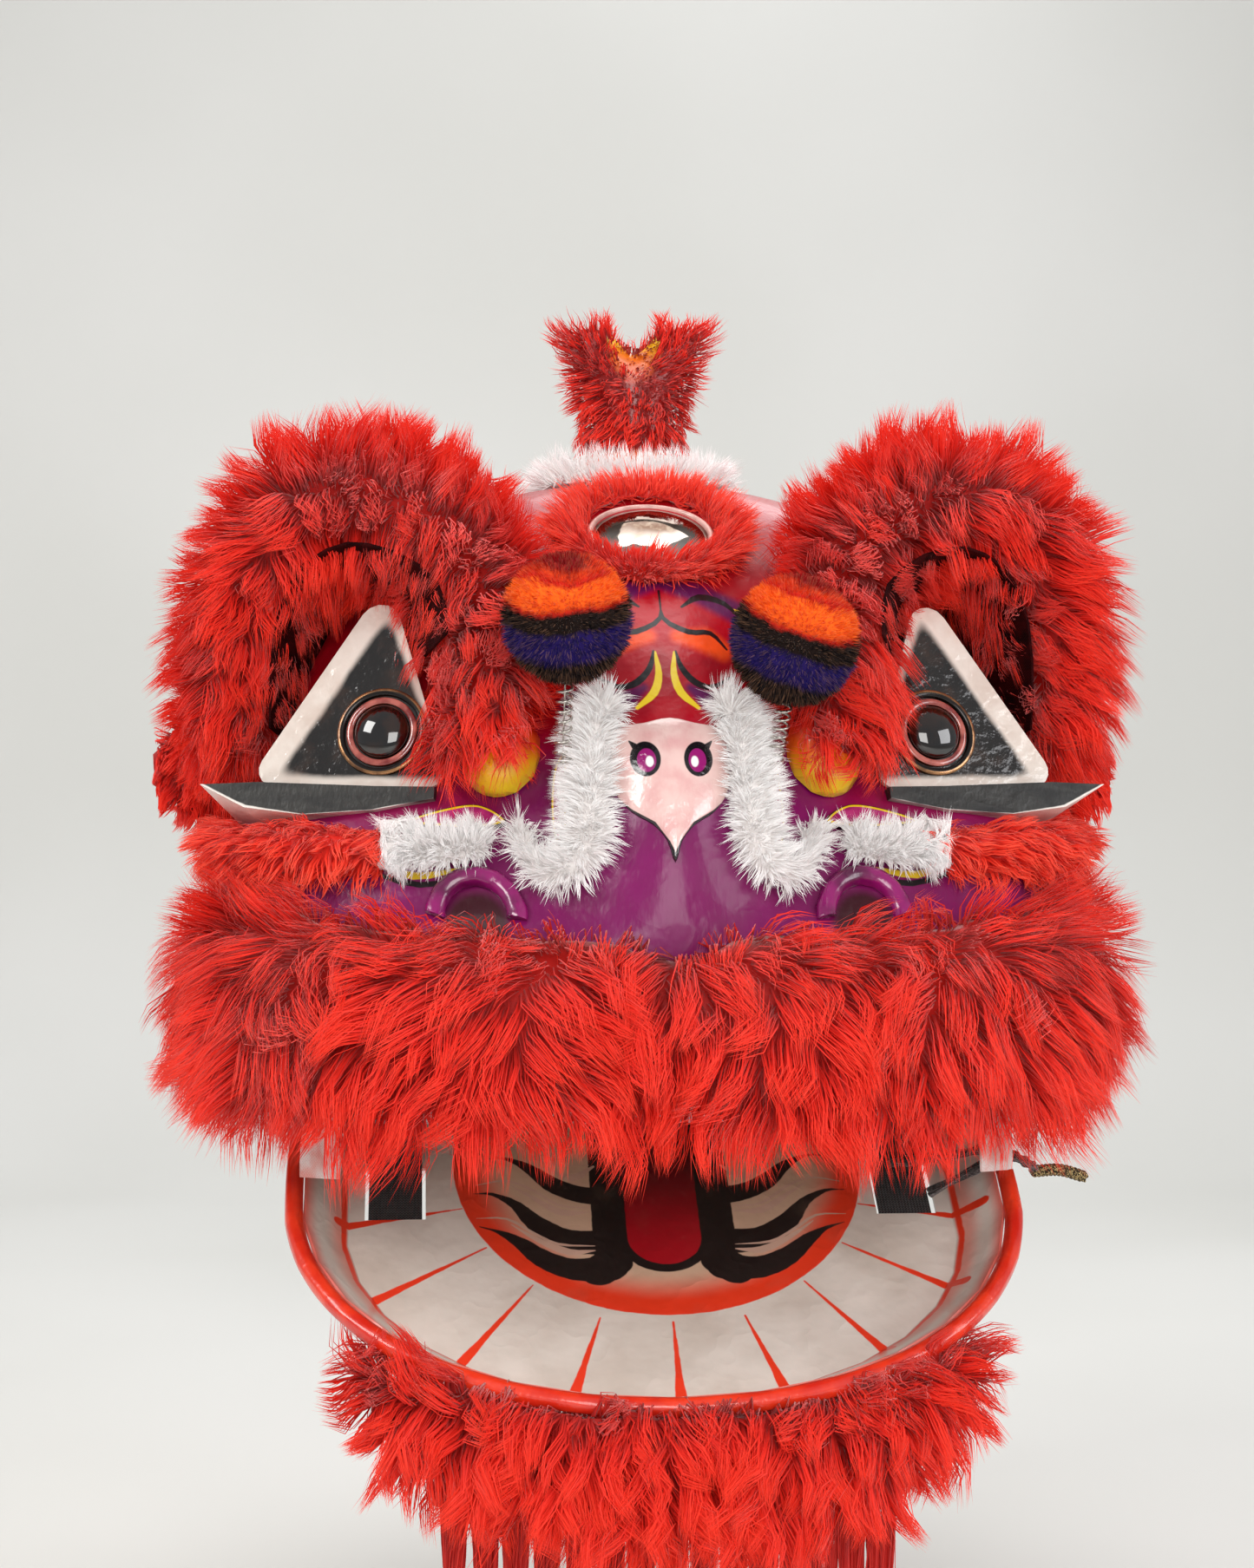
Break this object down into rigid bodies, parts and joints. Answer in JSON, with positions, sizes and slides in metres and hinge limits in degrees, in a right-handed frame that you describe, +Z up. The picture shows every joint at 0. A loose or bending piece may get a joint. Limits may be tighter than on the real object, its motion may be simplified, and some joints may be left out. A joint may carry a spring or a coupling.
{
  "type": "lion dance head",
  "caption": "Hollow head costume of a dancing lion with a hanging lower jaw, deep fur brows, lip and beard, glossy eyes, a forehead mirror, a horn and pompoms on springs.",
  "frame": {"origin": "centre of the open neck edge at the level of its lowest point, where the wearer's head goes in", "axes": "+Z up the head towards the horn, the face looks along -Y, +X is the viewer's right"},
  "size_m": [0.8836, 0.7619, 1.1862],
  "materials": {
    "red_fur": "long pile fur, red",
    "bright_fur": "short pile fur, bright red",
    "white_fur": "pile fur, white",
    "painted_shell": "papier mache and cloth, painted and varnished",
    "magenta_gloss": "gloss magenta paint",
    "pale_gloss": "gloss pinkish white paint",
    "yellow_gloss": "gloss yellow paint",
    "black_gloss": "gloss black",
    "iris_gloss": "gloss dark red",
    "gold": "dull gold",
    "mirror_chrome": "silvered",
    "spring_steel": "bare spring wire",
    "felt": "trimmed wool pile in bands",
    "jaw_white": "painted white, satin",
    "jaw_red": "painted red orange, gloss",
    "black_elastic": "black webbing and net",
    "glitter": "gold glitter braid",
    "dark_lining": "dark cloth lining"
  },
  "bodies": {
    "root": {"beard_fringe": "red_fur", "beard_fur": "red_fur", "brow_fur_left": "red_fur", "brow_fur_right": "red_fur", "brow_hood_left": "dark_lining", "brow_hood_right": "dark_lining", "cheek_bump_left": "yellow_gloss", "cheek_bump_right": "yellow_gloss", "cheek_fur_left": "bright_fur", "cheek_fur_right": "bright_fur", "ear_left": "bright_fur", "ear_right": "bright_fur", "eye_gold_ring_left": "gold", "eye_gold_ring_right": "gold", "eye_iris_ring_left": "iris_gloss", "eye_iris_ring_right": "iris_gloss", "eye_panel_left": "black_gloss", "eye_panel_right": "black_gloss", "eye_pupil_left": "black_gloss", "eye_pupil_right": "black_gloss", "eye_rim_left": "pale_gloss", "eye_rim_right": "pale_gloss", "glitter_braid": "glitter", "head_shell": "painted_shell", "horn": "yellow_gloss", "horn_base_fur": "white_fur", "horn_fur": "red_fur", "jaw_dish": "jaw_white", "jaw_rim": "jaw_red", "jaw_strap_left": "black_elastic", "jaw_strap_right": "black_elastic", "leaf_inner_left": "magenta_gloss", "leaf_inner_right": "magenta_gloss", "leaf_outer_left": "magenta_gloss", "leaf_outer_right": "magenta_gloss", "lip_fur": "red_fur", "mesh_tie": "black_elastic", "mirror": "mirror_chrome", "mirror_fur": "bright_fur", "mirror_rim": "pale_gloss", "nose_plate": "pale_gloss", "nostril_left": "magenta_gloss", "nostril_right": "magenta_gloss", "pompom_left": "felt", "pompom_right": "felt", "side_flap_left": "white_fur", "side_flap_right": "white_fur", "spring_left": "spring_steel", "spring_right": "spring_steel", "trim_inner_left": "white_fur", "trim_inner_right": "white_fur", "trim_outer_left": "white_fur", "trim_outer_right": "white_fur", "upper_mouth_board": "jaw_white"}
  },
  "joints": []
}
